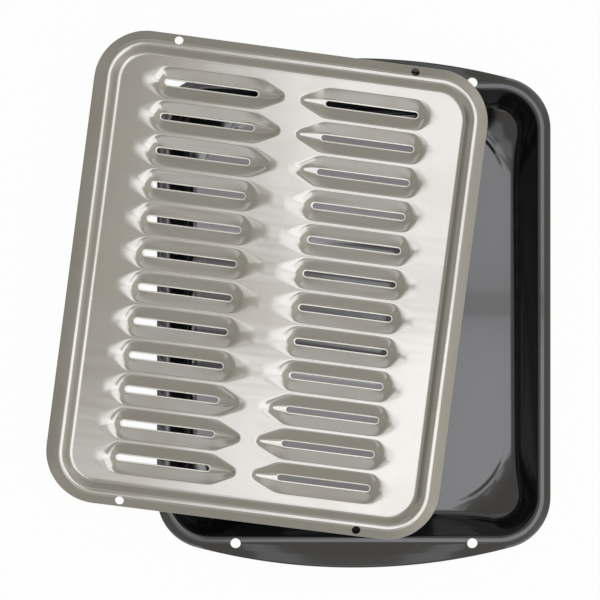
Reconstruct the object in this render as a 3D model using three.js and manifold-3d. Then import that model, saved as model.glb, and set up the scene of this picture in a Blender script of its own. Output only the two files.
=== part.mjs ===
// Two-piece broiler pan: a deep-drawn enamelled pan, and a stamped, slotted grill that lies askew on its rim.
// Millimetres, +Z up. The origin is the middle of the pan's underside, and +Y runs along the pan's length.

import * as THREE from 'three';
import { mergeVertices } from 'three/addons/utils/BufferGeometryUtils.js';
import Module from 'manifold-3d';

// Pan, overall
const PAN_WIDTH = 323.85;
const PAN_LENGTH = 419.1;
const PAN_HEIGHT = 41.3;
const PAN_SHEET = 1;

// Pan rim: a flat crest, and a lip that slopes down from it and bows outwards at the two ends
const PAN_CREST_WIDTH = 5.2;
const PAN_SIDE_LIP_RUN = 6;
const PAN_END_LIP_RUN = 21.3;
const PAN_LIP_DROP = 4.5;
const PAN_LIP_CORNER = 43;
const PAN_END_BOW_RADIUS = 510;
const PAN_CREST_BEND = 2.5;

// Pan wall and floor: a drafted wall, a wide fillet, and a shallow panel pressed down into the floor
const PAN_OPENING_CORNER = 33;
const PAN_WALL_DRAFT = 16;
const PAN_RIM_BEND = 3.4;
const PAN_FLOOR_FILLET = 9;
const PAN_FLOOR_BORDER = 1;
const PAN_FLOOR_STEP = 1.2;
const PAN_FLOOR_STEP_RUN = 2.4;
const PAN_FLOOR_PANEL_CORNER = 58;

// Grill, overall
const GRILL_WIDTH = 323.6;
const GRILL_LENGTH = 387.4;
const GRILL_CORNER = 43;
const GRILL_SHEET = 0.8;

// Grill rim: a skirt that slopes up to a round crest, and a wall down to the recessed panel
const SKIRT_SIDE_RUN = 9.6;
const SKIRT_END_RUN = 8.1;
const SKIRT_DROP = 5;
const GRILL_CREST_WIDTH = 3.4;
const GRILL_CREST_BEND = 4;
const GRILL_WALL_RUN = 6.6;
const GRILL_WALL_BEND = 6;
const PANEL_RECESS = 5.4;

// Drip troughs: two columns of V-shaped troughs, each with a slot along its bottom
const ROW_COUNT = 12;
const ROW_PITCH = 28.08;
const COLUMN_OFFSET = 66.1;
const TROUGH_DEPTH = 4.5;
const CREST_BETWEEN_ROWS = 2.4;
const SLOT_LENGTH = 76;
const SLOT_WIDTH = 4.5;
const SLOT_LAND = 1;

// Ends of a trough: the inner one stops at a blunt step, and the outer one runs out into the panel
const INNER_TIP_REACH = 20.5;
const INNER_TIP_RADIUS = 4.5;
const INNER_TIP_FOOT_RADIUS = 1.1;
const INNER_TIP_DEPTH = 1.5;
const OUTER_TIP_REACH = 18;
const OUTER_TIP_RADIUS = 7.5;
const OUTER_TIP_FOOT_RADIUS = 5;
const OUTER_TIP_DEPTH = 0.5;
const MIDDLE_ROW_TIP_SHARE = 0.45;

// Hanging holes through the ends of both pieces
const HOLE_SPACING = 194;
const PAN_HOLE_DIAMETER = 8.3;
const PAN_HOLE_FROM_CREST = 0.5;
const GRILL_HOLE_DIAMETER = 7;
const GRILL_HOLE_FROM_END = 5.4;

// How the loose grill lies: turned clockwise, moved left and back, with a hair of clearance at each contact
const GRILL_TURN = 7.38;
const GRILL_SHIFT_LEFT = 70.4;
const GRILL_SHIFT_BACK = 22.1;
const SEAT_GAP = 0.3;

// Facets
const CORNER_STEPS = 8;
const END_STEPS = 8;
const BEND_STEPS = 3;
const TIP_STEPS = 3;
const SLOT_END_STEPS = 4;
const HOLE_SIDES = 16;
const CUT_OVERSHOOT = 2;
const SAME_POINT = 1e-6;

const { degToRad, lerp, clamp } = THREE.MathUtils;
const wasm = await Module();
wasm.setup();

// Outlines

function arc(centre, radius, from, to, steps) {
  return Array.from({ length: steps + 1 }, (_, i) => {
    const angle = lerp(from, to, i / steps);
    return new THREE.Vector2(centre.x + radius * Math.cos(angle), centre.y + radius * Math.sin(angle));
  });
}

// A rectangle with round corners, counterclockwise. Its ends bow outwards by their curvature, 1 / radius.
function roundedOutline(halfWidth, halfLength, corner, bowCurvature = 0) {
  const quarter = new THREE.Vector2(halfWidth - corner, halfLength - corner);
  const endArc = { centre: 0, lean: 0 };
  if (bowCurvature > 0) {
    const radius = 1 / bowCurvature;
    endArc.centre = halfLength - radius;
    endArc.lean = Math.asin(quarter.x / (radius - corner));
    quarter.y = endArc.centre + (radius - corner) * Math.cos(endArc.lean);
  }
  const cornerArc = arc(quarter, corner, 0, Math.PI / 2 - endArc.lean, CORNER_STEPS);
  const meets = cornerArc.at(-1);
  const half = [...cornerArc];
  for (let i = 1; i < END_STEPS; i += 1) {
    const x = lerp(meets.x, -meets.x, i / END_STEPS);
    const y = bowCurvature > 0 ? endArc.centre + Math.sqrt(bowCurvature ** -2 - x * x) : halfLength;
    half.push(new THREE.Vector2(x, y));
  }
  half.push(...cornerArc.toReversed().map((p) => new THREE.Vector2(-p.x, p.y)));
  return [...half, ...half.map((p) => new THREE.Vector2(-p.x, -p.y))];
}

function stadium(halfLength, radius, steps) {
  const right = arc(new THREE.Vector2(halfLength - radius, 0), radius, -Math.PI / 2, Math.PI / 2, steps);
  return [...right, ...right.map((p) => new THREE.Vector2(-p.x, -p.y))];
}

const raised = (outline, z) => outline.map((p) => new THREE.Vector3(p.x, p.y, z));

// Sections of a pressed sheet: points x inwards and y up, each corner with its bend on the upper face.
// A bend is limited by the straight legs beside it, which two bends share.

function bent(corners) {
  return corners.flatMap((corner, i) => {
    if (!corner.bend) return [new THREE.Vector2(corner.x, corner.y)];
    const here = new THREE.Vector2(corner.x, corner.y);
    const legs = [corners[i - 1], corners[i + 1]].map((c) => new THREE.Vector2(c.x, c.y).sub(here));
    const room = legs.map((leg, k) => leg.length() / (corners[i - 1 + 2 * k].bend ? 2 : 1));
    const [back, on] = legs.map((leg) => leg.normalize());
    const halfAngle = Math.acos(clamp(back.dot(on), -1, 1)) / 2;
    const reach = Math.min(corner.bend / Math.tan(halfAngle), ...room);
    const radius = reach * Math.tan(halfAngle);
    const centre = back.clone().add(on).normalize().multiplyScalar(radius / Math.sin(halfAngle)).add(here);
    const from = back.multiplyScalar(reach).add(here).sub(centre).angle();
    const to = on.multiplyScalar(reach).add(here).sub(centre).angle();
    const sweep = Math.atan2(Math.sin(to - from), Math.cos(to - from));
    return arc(centre, radius, from, from + sweep, BEND_STEPS);
  });
}

// The sheet's lower face: every corner moves by the thickness, and its bend grows or shrinks with it
function underside(corners, sheet) {
  return corners.map((corner, i) => {
    const before = corners[i - 1];
    const after = corners[i + 1];
    if (!before || !after) return { x: corner.x, y: corner.y - sheet };
    const a = new THREE.Vector2(corner.x - before.x, corner.y - before.y).normalize();
    const b = new THREE.Vector2(after.x - corner.x, after.y - corner.y).normalize();
    const mitre = new THREE.Vector2(a.y + b.y, -a.x - b.x).normalize();
    const stretch = sheet / Math.max(mitre.x * a.y - mitre.y * a.x, SAME_POINT);
    const bend = corner.bend ? Math.max(corner.bend - Math.sign(b.x * a.y - b.y * a.x) * sheet, 0) : 0;
    return { x: corner.x + mitre.x * stretch, y: corner.y + mitre.y * stretch, bend };
  });
}

// Solids

// A closed loft through loops of as many points each. The first is capped facing up, the last facing down.
function loft(loops) {
  const count = loops[0].length;
  const points = loops.flat();
  const index = [];
  const face = (...corners) => {
    const [a, b, c] = corners.map((i) => points[i]);
    const apart = [a.distanceTo(b), b.distanceTo(c), c.distanceTo(a)];
    if (Math.min(...apart) > SAME_POINT) index.push(...corners);
  };
  const middle = (loop) => loop.reduce((sum, p) => sum.add(p), new THREE.Vector3()).divideScalar(count);
  const first = points.push(middle(loops[0])) - 1;
  const last = points.push(middle(loops.at(-1))) - 1;
  for (let i = 0; i < count; i += 1) {
    const next = (i + 1) % count;
    face(first, i, next);
    for (let k = 0; k < loops.length - 1; k += 1) {
      const row = k * count;
      face(row + i, row + count + i, row + count + next);
      face(row + i, row + count + next, row + next);
    }
    face(last, (loops.length - 1) * count + next, (loops.length - 1) * count + i);
  }
  const geometry = new THREE.BufferGeometry().setFromPoints(points);
  geometry.setIndex(index);
  return geometry;
}

function solidOf(geometry) {
  const bare = geometry.clone();
  bare.deleteAttribute('normal');
  bare.deleteAttribute('uv');
  const merged = mergeVertices(bare, SAME_POINT);
  const vertProperties = new Float32Array(merged.attributes.position.array);
  const triVerts = new Uint32Array(merged.index.array);
  return new wasm.Manifold(new wasm.Mesh({ numProp: 3, vertProperties, triVerts }));
}

function geometryOf(solid) {
  const { vertProperties, triVerts } = solid.getMesh();
  const geometry = new THREE.BufferGeometry();
  geometry.setAttribute('position', new THREE.BufferAttribute(new Float32Array(vertProperties), 3));
  geometry.setIndex(new THREE.BufferAttribute(new Uint32Array(triVerts), 1));
  geometry.computeVertexNormals();
  return geometry;
}

// A pressed sheet: its section swept round the outlines that outlineAt gives for each inset
function pressing(corners, sheet, outlineAt) {
  const upper = bent(corners).toReversed();
  const lower = bent(underside(corners, sheet));
  return solidOf(loft([...upper, ...lower].map((p) => raised(outlineAt(p.x), p.y))));
}

// Drills for the hanging holes, each as far above z 0 as below it
function fourHoles(diameter, fromMiddle, reach) {
  return [-1, 1].flatMap((side) => [-1, 1].map((end) => {
    const drill = new THREE.CylinderGeometry(diameter / 2, diameter / 2, 2 * reach, HOLE_SIDES);
    drill.rotateX(Math.PI / 2);
    drill.translate((side * HOLE_SPACING) / 2, end * fromMiddle, 0);
    return solidOf(drill);
  }));
}

// Pan

const opening = {
  halfWidth: PAN_WIDTH / 2 - PAN_SIDE_LIP_RUN - PAN_CREST_WIDTH,
  halfLength: PAN_LENGTH / 2 - PAN_END_LIP_RUN - PAN_CREST_WIDTH,
};
const floorBorderTop = PAN_SHEET + PAN_FLOOR_STEP;
const wallRun = (PAN_HEIGHT - floorBorderTop) * Math.tan(degToRad(PAN_WALL_DRAFT));
const floorFilletRun = PAN_FLOOR_FILLET / Math.tan(degToRad(90 + PAN_WALL_DRAFT) / 2);
const floorStepAt = wallRun + floorFilletRun + PAN_FLOOR_BORDER;

// Insets count inwards from the opening's edge, so the crest and the lip lie at negative ones
function panOutline(inset) {
  const crestEdge = opening.halfLength + PAN_CREST_WIDTH;
  const crestCorner = PAN_OPENING_CORNER + PAN_CREST_WIDTH;
  const lipShare = (-inset - PAN_CREST_WIDTH) / PAN_SIDE_LIP_RUN;
  const halfWidth = opening.halfWidth - inset;
  if (lipShare > 0) {
    const halfLength = crestEdge + lipShare * PAN_END_LIP_RUN;
    const corner = lerp(crestCorner, PAN_LIP_CORNER, lipShare);
    return roundedOutline(halfWidth, halfLength, corner, lipShare / PAN_END_BOW_RADIUS);
  }
  const onWall = inset < floorStepAt - PAN_FLOOR_BORDER / 2;
  const corner = onWall ? PAN_OPENING_CORNER - inset : PAN_FLOOR_PANEL_CORNER;
  return roundedOutline(halfWidth, opening.halfLength - inset, corner);
}

function makePan() {
  const lipEdge = -PAN_CREST_WIDTH - PAN_SIDE_LIP_RUN;
  const corners = [
    { x: lipEdge, y: PAN_HEIGHT - PAN_LIP_DROP },
    { x: -PAN_CREST_WIDTH, y: PAN_HEIGHT, bend: PAN_CREST_BEND },
    { x: 0, y: PAN_HEIGHT, bend: PAN_RIM_BEND },
    { x: wallRun, y: floorBorderTop, bend: PAN_FLOOR_FILLET },
    { x: floorStepAt, y: floorBorderTop },
    { x: floorStepAt + PAN_FLOOR_STEP_RUN, y: PAN_SHEET },
  ];
  const holeAt = opening.halfLength + PAN_CREST_WIDTH + PAN_HOLE_FROM_CREST;
  const holes = fourHoles(PAN_HOLE_DIAMETER, holeAt, PAN_HEIGHT + CUT_OVERSHOOT);
  return pressing(corners, PAN_SHEET, panOutline).subtract(wasm.Manifold.union(holes));
}

// Grill, in a frame of its own with z 0 on the crest of its rim

function grillOutline(inset) {
  const endInset = inset - Math.min(inset / SKIRT_SIDE_RUN, 1) * (SKIRT_SIDE_RUN - SKIRT_END_RUN);
  return roundedOutline(GRILL_WIDTH / 2 - inset, GRILL_LENGTH / 2 - endInset, GRILL_CORNER - inset);
}

const land = { halfLength: SLOT_LENGTH / 2 + SLOT_LAND, halfWidth: SLOT_WIDTH / 2 + SLOT_LAND };
const rowY = (row) => ((ROW_COUNT - 1) / 2 - row) * ROW_PITCH;

// One end of a trough, from its +Y shoulder round the tip to its -Y shoulder: the outline on the panel, the
// foot of its flanks, and the end of the flat land round the slot, as loops that match point by point
function troughEnd(tip) {
  const shoulder = new THREE.Vector2(land.halfLength, (ROW_PITCH - CREST_BETWEEN_ROWS) / 2);
  const centre = new THREE.Vector2(land.halfLength + tip.reach - tip.radius, 0);
  const toShoulder = shoulder.clone().sub(centre);
  const tangent = toShoulder.angle() - Math.acos(tip.radius / toShoulder.length());
  const tipArc = arc(centre, tip.radius, tangent, -tangent, TIP_STEPS);
  const footArc = arc(centre, tip.footRadius, tangent, -tangent, TIP_STEPS);
  const onLandEnd = (share) => new THREE.Vector3(land.halfLength, share * land.halfWidth, -TROUGH_DEPTH);
  const landEnd = tipArc.map((_, i) => onLandEnd(lerp(1, -1, i / TIP_STEPS)));
  return {
    rim: raised([shoulder, ...tipArc, new THREE.Vector2(shoulder.x, -shoulder.y)], 0),
    foot: [onLandEnd(1), ...raised(footArc, -tip.depth), onLandEnd(-1)],
    land: [onLandEnd(1), ...landEnd, onLandEnd(-1)],
  };
}

// A trough, its inner end towards +X. The hollow reaches above the panel, and the body starts in the sheet.
function trough(drop, headroom, innerTipDepth) {
  const inner = troughEnd({
    reach: INNER_TIP_REACH,
    radius: INNER_TIP_RADIUS,
    footRadius: INNER_TIP_FOOT_RADIUS,
    depth: innerTipDepth,
  });
  const outer = troughEnd({
    reach: OUTER_TIP_REACH,
    radius: OUTER_TIP_RADIUS,
    footRadius: OUTER_TIP_FOOT_RADIUS,
    depth: OUTER_TIP_DEPTH,
  });
  const loop = (part) => [
    ...inner[part].toReversed(),
    ...outer[part].map((p) => new THREE.Vector3(-p.x, p.y, p.z)),
  ];
  const head = loop('rim').map((p) => p.setZ(headroom));
  return loft([head, loop('rim'), loop('foot'), loop('land')]).translate(0, 0, -drop);
}

function slot() {
  const outline = stadium(SLOT_LENGTH / 2, SLOT_WIDTH / 2, SLOT_END_STEPS);
  return loft([raised(outline, CUT_OVERSHOOT), raised(outline, -TROUGH_DEPTH - GRILL_SHEET - CUT_OVERSHOOT)]);
}

function makeGrill() {
  const crestAt = SKIRT_SIDE_RUN + GRILL_CREST_WIDTH;
  const wallFoot = crestAt + GRILL_WALL_RUN;
  const corners = [
    { x: 0, y: -SKIRT_DROP },
    { x: SKIRT_SIDE_RUN, y: 0, bend: GRILL_CREST_BEND },
    { x: crestAt, y: 0, bend: GRILL_CREST_BEND },
    { x: wallFoot, y: -PANEL_RECESS, bend: GRILL_WALL_BEND },
    { x: wallFoot + GRILL_WALL_BEND, y: -PANEL_RECESS },
  ];
  const bodies = [];
  const holeReach = SKIRT_DROP + GRILL_SHEET + CUT_OVERSHOOT;
  const cuts = fourHoles(GRILL_HOLE_DIAMETER, GRILL_LENGTH / 2 - GRILL_HOLE_FROM_END, holeReach);
  for (let row = 0; row < ROW_COUNT; row += 1) {
    const fromMiddle = Math.abs(rowY(row)) / rowY(0);
    const innerTipDepth = INNER_TIP_DEPTH * lerp(MIDDLE_ROW_TIP_SHARE, 1, fromMiddle ** 2);
    for (const side of [-1, 1]) {
      const place = (geometry) => {
        if (side > 0) geometry.rotateZ(Math.PI);
        return solidOf(geometry.translate(side * COLUMN_OFFSET, rowY(row), -PANEL_RECESS));
      };
      bodies.push(place(trough(GRILL_SHEET, GRILL_SHEET / 2, innerTipDepth)));
      cuts.push(place(trough(0, CUT_OVERSHOOT, innerTipDepth)), place(slot()));
    }
  }
  const tray = pressing(corners, GRILL_SHEET, grillOutline);
  return tray.add(wasm.Manifold.union(bodies)).subtract(wasm.Manifold.union(cuts));
}

// The loose grill leans on three places: the lands of its first and last rows touch the back and left rims,
// and the edge of its front right corner comes down to the front rim.
function restingMatrix() {
  const cos = Math.cos(degToRad(GRILL_TURN));
  const sin = Math.sin(degToRad(GRILL_TURN));
  const shift = new THREE.Vector2(-GRILL_SHIFT_LEFT, GRILL_SHIFT_BACK);
  const inPlan = (x, y) => new THREE.Vector2(x * cos + y * sin, y * cos - x * sin).add(shift);
  const landSpan = [-COLUMN_OFFSET - land.halfLength, -COLUMN_OFFSET + land.halfLength];
  const firstLand = rowY(0) + land.halfWidth;
  const lastLand = rowY(ROW_COUNT - 1) - land.halfWidth;
  const onBackRim = (firstLand * cos + GRILL_SHIFT_BACK - opening.halfLength) / sin;
  const onLeftRim = (GRILL_SHIFT_LEFT - opening.halfWidth - lastLand * sin) / cos;
  const cornerCentre = inPlan(GRILL_WIDTH / 2 - GRILL_CORNER, GRILL_CORNER - GRILL_LENGTH / 2);
  const overFrontRim = -cornerCentre.y + GRILL_CORNER - opening.halfLength;
  const frontDrop = overFrontRim > SKIRT_END_RUN ? Math.max(PANEL_RECESS, SKIRT_DROP) : SKIRT_DROP;
  const contact = (plan, drop) => {
    return new THREE.Vector3(plan.x, plan.y, PAN_HEIGHT + SEAT_GAP + drop + GRILL_SHEET);
  };
  const back = contact(inPlan(clamp(onBackRim, ...landSpan), firstLand), PANEL_RECESS + TROUGH_DEPTH);
  const left = contact(inPlan(clamp(onLeftRim, ...landSpan), lastLand), PANEL_RECESS + TROUGH_DEPTH);
  const front = contact(cornerCentre.sub(new THREE.Vector2(0, GRILL_CORNER)), frontDrop);
  const plane = new THREE.Plane().setFromCoplanarPoints(left, front, back);
  const heightAt = (x, y) => -(plane.constant + plane.normal.x * x + plane.normal.y * y) / plane.normal.z;
  const middle = new THREE.Vector3(shift.x, shift.y, heightAt(shift.x, shift.y));
  const aside = middle.clone().add(new THREE.Vector3(cos, -sin, 0));
  const xAxis = aside.setZ(heightAt(aside.x, aside.y)).sub(middle).normalize();
  const yAxis = plane.normal.clone().cross(xAxis);
  return new THREE.Matrix4().makeBasis(xAxis, yAxis, plane.normal).setPosition(middle);
}

// Assembly

const enamel = new THREE.MeshStandardMaterial({ color: 0x131416, roughness: 0.12, metalness: 0 });
const plating = new THREE.MeshStandardMaterial({ color: 0xc9c4ba, roughness: 0.3, metalness: 1 });

const pan = new THREE.Mesh(geometryOf(makePan()), enamel);
pan.name = 'broiler_pan';

const grill = new THREE.Mesh(geometryOf(makeGrill()), plating);
grill.name = 'broiler_grill';
grill.applyMatrix4(restingMatrix());

const broilerPan = new THREE.Group();
broilerPan.add(pan, grill);

export default broilerPan;
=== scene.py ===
"""Dresses the broiler pan: a black enamelled pan, and a bright slotted grill that lies askew on its rim."""

import logging
import math
from collections.abc import Mapping, Sequence
from dataclasses import asdict, dataclass
from enum import Enum
from typing import Any

import bmesh
import bpy
import numpy as np
from mathutils import Matrix, Vector


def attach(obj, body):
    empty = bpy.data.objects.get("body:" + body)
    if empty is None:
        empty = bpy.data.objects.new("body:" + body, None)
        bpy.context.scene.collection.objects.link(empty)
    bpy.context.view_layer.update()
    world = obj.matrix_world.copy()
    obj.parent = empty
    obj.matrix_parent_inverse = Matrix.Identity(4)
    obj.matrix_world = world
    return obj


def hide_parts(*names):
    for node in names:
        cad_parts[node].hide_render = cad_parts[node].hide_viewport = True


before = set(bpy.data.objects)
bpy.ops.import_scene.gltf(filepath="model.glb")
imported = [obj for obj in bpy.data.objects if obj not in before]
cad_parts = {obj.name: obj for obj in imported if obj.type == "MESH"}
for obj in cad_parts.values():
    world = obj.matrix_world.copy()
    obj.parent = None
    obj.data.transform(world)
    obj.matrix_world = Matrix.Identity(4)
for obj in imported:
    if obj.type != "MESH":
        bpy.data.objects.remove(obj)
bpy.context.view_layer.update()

Pair = tuple[float, float]
Triple = tuple[float, float, float]
Colour = tuple[float, float, float, float]

MM = 0.001
SHARP = math.radians(50)  # an edge that turns more is broken, or shaded as an edge
EDGE_STEPS = 2
DRILL_STEPS = 48
MEETING = 0.01 * MM  # points that are nearer are one
NEAR = 0.01  # how far a point may be off a line that it lies on, in mm
NO_WAY = 1e-9  # a length in mm that stands in for 0 where something is divided by it
WHITE: Colour = (1.0, 1.0, 1.0, 1.0)
LOG = logging.getLogger("broiler_pan")


class Body(Enum):
    """The two bodies that the pieces ride on."""

    PAN = "pan"
    GRILL = "grill"


class Column(Enum):
    """A column of troughs, by the side of the grill that it lies on."""

    LEFT = -1
    RIGHT = 1


# Section, outline and holes of a pressed sheet


@dataclass(frozen=True)
class SheetCorner:
    """A corner of a sheet's section: its inset, its height and the bend on its upper face, in mm."""

    inset: float
    height: float
    bend: float = 0.0

    def point(self) -> np.ndarray:
        """The corner as inset and height."""
        return np.array((self.inset, self.height))


@dataclass(frozen=True)
class OutlineSteps:
    """How many steps a rounded outline has in each corner, along each end and along each side."""

    corner: int = 20
    end: int = 36
    side: int = 24


def bent_section(corners: Sequence[SheetCorner], steps: int) -> np.ndarray:
    """Rounds each corner of a section that has a bend.

    Args:
        corners: the section's corners in order.
        steps: the steps of each bend.

    Returns:
        Points of inset and height, one row each.
    """
    made: list[np.ndarray] = []
    for i, corner in enumerate(corners):
        here = corner.point()
        if corner.bend == 0:
            made.append(here)
            continue
        sides = (corners[i - 1], corners[i + 1])
        legs = [side.point() - here for side in sides]
        room = [np.linalg.norm(leg) / (2 if side.bend else 1) for leg, side in zip(legs, sides)]
        back, onward = (leg / np.linalg.norm(leg) for leg in legs)
        half = math.acos(float(np.clip(back @ onward, -1, 1))) / 2
        reach = min(corner.bend / math.tan(half), *room)
        radius = reach * math.tan(half)
        middle = (back + onward) / np.linalg.norm(back + onward)
        centre = here + middle * radius / math.sin(half)
        first, last = (math.atan2(*(here + leg * reach - centre)[::-1]) for leg in (back, onward))
        sweep = math.remainder(last - first, math.tau)
        for angle in first + sweep * np.linspace(0, 1, steps + 1):
            made.append(centre + radius * np.array((math.cos(angle), math.sin(angle))))
    return np.array(made)


def rounded_outline(
    half_width: float, half_length: float, corner: float, steps: OutlineSteps, curvature: float = 0.0
) -> np.ndarray:
    """A rectangle with round corners, counterclockwise from the right, whose ends may bow outwards.

    Args:
        half_width: half of its size along X.
        half_length: half of its size along Y, at the middle of the ends.
        corner: the corners' radius.
        steps: the steps along it.
        curvature: 1 / radius of the two ends.

    Returns:
        Points of x and y, one row each.
    """
    corner_x, corner_y, lean = half_width - corner, half_length - corner, 0.0
    bow_centre = 0.0
    if curvature > 0:
        bow_centre = half_length - 1 / curvature
        lean = math.asin(corner_x / (1 / curvature - corner))
        corner_y = bow_centre + (1 / curvature - corner) * math.cos(lean)
    angles = np.linspace(0, math.pi / 2 - lean, steps.corner + 1)
    arc = np.column_stack((corner_x + corner * np.cos(angles), corner_y + corner * np.sin(angles)))
    end_x = np.linspace(arc[-1, 0], -arc[-1, 0], steps.end + 1)[1:-1]
    end_y = np.full_like(end_x, half_length)
    if curvature > 0:
        end_y = bow_centre + np.sqrt(curvature**-2 - end_x**2)
    side_y = np.linspace(corner_y, -corner_y, steps.side + 1)[1:-1]
    side = np.column_stack((np.full_like(side_y, -half_width), side_y))
    half = np.vstack((arc, np.column_stack((end_x, end_y)), arc[::-1] * (-1, 1), side))
    return np.vstack((half, -half))


def raised(outline: np.ndarray, height: float) -> np.ndarray:
    """An outline's points at one height."""
    return np.column_stack((outline, np.full(len(outline), height)))


def eased(value: Any, low: float, high: float) -> np.ndarray:
    """A smooth step from 0 where a value is low to 1 where it is high."""
    share = np.clip((value - low) / (high - low), 0, 1)
    return share * share * (3 - 2 * share)


def even_shares(steps: int) -> np.ndarray:
    """Even shares from 0 to 1, without the last, one row each."""
    return np.linspace(0, 1, steps + 1)[:-1, None]


def four_holes(spacing: float, from_middle: float, diameter: float) -> list[Triple]:
    """The x, y and diameter of two holes at each end."""
    return [(side * spacing / 2, end * from_middle, diameter) for side in (-1, 1) for end in (-1, 1)]


# Meshes


def placed(name: str, data: Any) -> bpy.types.Object:
    """A new object in the scene."""
    thing = bpy.data.objects.new(name, data)
    bpy.context.scene.collection.objects.link(thing)
    return thing


def coat(piece: bpy.types.Object, material: bpy.types.Material) -> None:
    """Gives a piece one material, in place of the empty slot that the Boolean leaves."""
    piece.data.materials.clear()
    piece.data.materials.append(material)


class SheetMesh:
    """Collects a pressed sheet's upper face as rings of points, then gives it thickness, edges and holes."""

    def __init__(self) -> None:
        """Starts with no faces."""
        self.points: list[np.ndarray] = []
        self.faces: list[tuple[int, ...]] = []
        self.count = 0

    def add_points(self, points: np.ndarray) -> np.ndarray:
        """Adds points and gives their numbers."""
        first = self.count
        self.points.append(np.asarray(points, float).reshape(-1, 3))
        self.count += len(self.points[-1])
        return np.arange(first, self.count)

    def add_rings(self, rings: np.ndarray) -> np.ndarray:
        """Joins matching closed rings by quads.

        Args:
            rings: ring by point by xyz, from the outermost ring inwards.

        Returns:
            The points' numbers, ring by ring.
        """
        numbers = self.add_points(rings).reshape(rings.shape[:2])
        onward = np.roll(numbers, -1, axis=1)
        quads = np.stack((numbers[:-1], onward[:-1], onward[1:], numbers[1:]), axis=-1)
        self.faces.extend(map(tuple, quads.reshape(-1, 4).tolist()))
        return numbers

    def add_cap(self, numbers: np.ndarray) -> None:
        """Closes a flat ring by a fan of triangles round its middle."""
        middle = int(self.add_points(np.vstack(self.points)[numbers].mean(axis=0))[0])
        self.faces.extend((int(a), int(b), middle) for a, b in zip(numbers, np.roll(numbers, -1)))

    def add_margin(self, outer: Sequence[int], inner: Sequence[int]) -> None:
        """Joins two rings with different points by triangles, both going round the origin.

        Args:
            outer: numbers of the outer ring's points.
            inner: numbers of the inner ring's points.
        """
        points = np.vstack(self.points)
        rings = []
        for ring in (outer, inner):
            angles = np.arctan2(points[ring, 1], points[ring, 0])
            order = np.argsort(angles, kind="stable")
            turned = [int(ring[i]) for i in order]
            rings.append((turned + turned[:1], np.append(angles[order], angles[order[0]] + math.tau)))
        (out, out_angle), (into, into_angle) = rings
        i = j = 0
        while i < len(out) - 1 or j < len(into) - 1:
            onward = j >= len(into) - 1 or (i < len(out) - 1 and out_angle[i + 1] <= into_angle[j + 1])
            third = out[i + 1] if onward else into[j + 1]
            self.faces.append((out[i], third, into[j]))
            i, j = (i + 1, j) if onward else (i, j + 1)

    @staticmethod
    def clean(mesh: bpy.types.Mesh) -> None:
        """Joins points that meet, cuts up faces with many sides and takes out faces without area."""
        work = bmesh.new()
        work.from_mesh(mesh)
        bmesh.ops.remove_doubles(work, verts=work.verts, dist=MEETING)
        bmesh.ops.triangulate(work, faces=[face for face in work.faces if len(face.verts) > 4])
        bmesh.ops.dissolve_degenerate(work, edges=work.edges, dist=MEETING)
        work.to_mesh(mesh)
        work.free()

    def made(
        self, name: str, sheet: float, drills: Sequence[Triple], edge: float, reach: float
    ) -> bpy.types.Object:
        """Makes the piece.

        Args:
            name: the piece's name.
            sheet: the sheet's thickness, which goes down from the upper face, in mm.
            drills: x, y and diameter of each hole through the sheet, in mm.
            edge: the radius that the cut edges are broken to, in mm.
            reach: how far the drills go above and below z 0, in mm.

        Returns:
            The piece, at the origin and in metres, with its modifiers applied.
        """
        mesh = bpy.data.meshes.new(name)
        mesh.from_pydata((np.vstack(self.points) * MM).tolist(), [], self.faces)
        self.clean(mesh)
        mesh.shade_smooth()
        rough = placed(name, mesh)
        thickness = rough.modifiers.new("sheet", "SOLIDIFY")
        thickness.thickness = sheet * MM
        thickness.offset = -1
        thickness.use_even_offset = True
        broken = rough.modifiers.new("edges", "BEVEL")
        broken.width = edge * MM
        broken.segments = EDGE_STEPS
        broken.limit_method = "ANGLE"
        broken.angle_limit = SHARP
        tool = drill_tool(drills, reach)
        cut = rough.modifiers.new("holes", "BOOLEAN")
        cut.operation = "DIFFERENCE"
        cut.solver = "MANIFOLD"
        cut.object = tool
        graph = bpy.context.evaluated_depsgraph_get()
        applied = bpy.data.meshes.new_from_object(rough.evaluated_get(graph))
        applied.name = name
        rough.modifiers.clear()
        rough.data = applied
        bpy.data.meshes.remove(mesh)
        bpy.data.objects.remove(tool)
        self.clean(applied)
        applied.shade_smooth()
        applied.set_sharp_from_angle(angle=SHARP)
        return rough


def drill_tool(drills: Sequence[Triple], reach: float) -> bpy.types.Object:
    """A hidden object of upright cylinders that cut holes.

    Args:
        drills: x, y and diameter of each, in mm.
        reach: how far they go above and below z 0, in mm.

    Returns:
        The object.
    """
    mesh = bpy.data.meshes.new("drills")
    work = bmesh.new()
    for x, y, diameter in drills:
        bmesh.ops.create_cone(
            work,
            cap_ends=True,
            segments=DRILL_STEPS,
            radius1=diameter / 2 * MM,
            radius2=diameter / 2 * MM,
            depth=2 * reach * MM,
            matrix=Matrix.Translation((x * MM, y * MM, 0)),
        )
    work.to_mesh(mesh)
    work.free()
    tool = placed("drills", mesh)
    tool.hide_render = True
    return tool


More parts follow.
